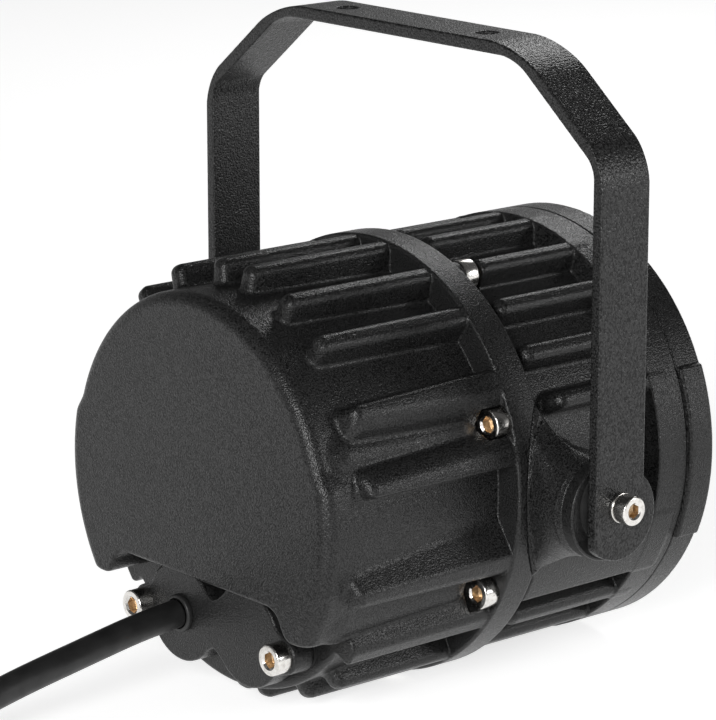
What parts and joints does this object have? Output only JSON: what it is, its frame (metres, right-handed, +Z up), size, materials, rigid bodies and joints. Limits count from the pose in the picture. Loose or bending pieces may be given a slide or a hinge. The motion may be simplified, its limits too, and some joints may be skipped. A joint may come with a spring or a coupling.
{
  "type": "led par can light",
  "caption": "Compact outdoor par can spotlight: finned die-cast head with round lens, tilting mounting yoke, sealed cable entry and power cord with plug.",
  "frame": {"origin": "on the floor under the middle of the lamp, without its cord", "axes": "+Z up, the lens faces -Y, the yoke turns about X"},
  "size_m": [0.2217, 0.3922, 0.207],
  "materials": {
    "cast_black": "satin black powder coat",
    "yoke_black": "satin black powder coat",
    "stainless": "bright stainless steel",
    "zinc_steel": "zinc plated",
    "black_rubber": "matte",
    "cable_rubber": "matte",
    "clear_glass": "clear toughened glass",
    "reflector_metal": "bright anodised",
    "led_phosphor": "silicone over phosphor on a white ceramic board",
    "bare_aluminium": "machined",
    "white_case": "moulded",
    "ivory_block": "moulded",
    "red_silicone": "silicone insulated",
    "brown_sheath": "insulated cores",
    "plug_rubber": "matte moulded rubber",
    "nickel_brass": "nickel plated",
    "hook_loop": "woven hook and loop strip"
  },
  "bodies": {
    "lamp": {"rear_housing": "cast_black", "front_housing": "cast_black", "housing_gasket": "black_rubber", "flange_screws": "stainless", "bezel": "cast_black", "bezel_screws": "stainless", "front_glass": "clear_glass", "glass_gasket": "black_rubber", "reflector": "reflector_metal", "led_module": "led_phosphor", "led_plate": "bare_aluminium", "led_plate_screws": "zinc_steel", "driver_bracket": "bare_aluminium", "driver_bracket_screws": "zinc_steel", "led_driver": "white_case", "terminal_block": "ivory_block", "led_leads": "red_silicone", "mains_leads": "brown_sheath", "gland_cover": "cast_black", "gland_cover_gasket": "black_rubber", "gland_cover_screws": "stainless", "cable_grommet": "black_rubber", "pivot_spacers": "cast_black", "friction_washers": "black_rubber", "pivot_washers": "stainless", "pivot_screws": "stainless", "power_cable": "cable_rubber", "cable_coil": "cable_rubber", "cable_tail": "cable_rubber", "coil_tie": "hook_loop", "power_plug": "plug_rubber", "plug_pins": "nickel_brass"},
    "yoke": {"yoke": "yoke_black"}
  },
  "joints": [
    {"name": "yoke_tilt", "type": "hinge", "parent": "lamp", "child": "yoke", "pos_m": [0, -0.01225, 0.0705], "axis": [1, 0, 0], "range_deg": [-90, 90]}
  ]
}
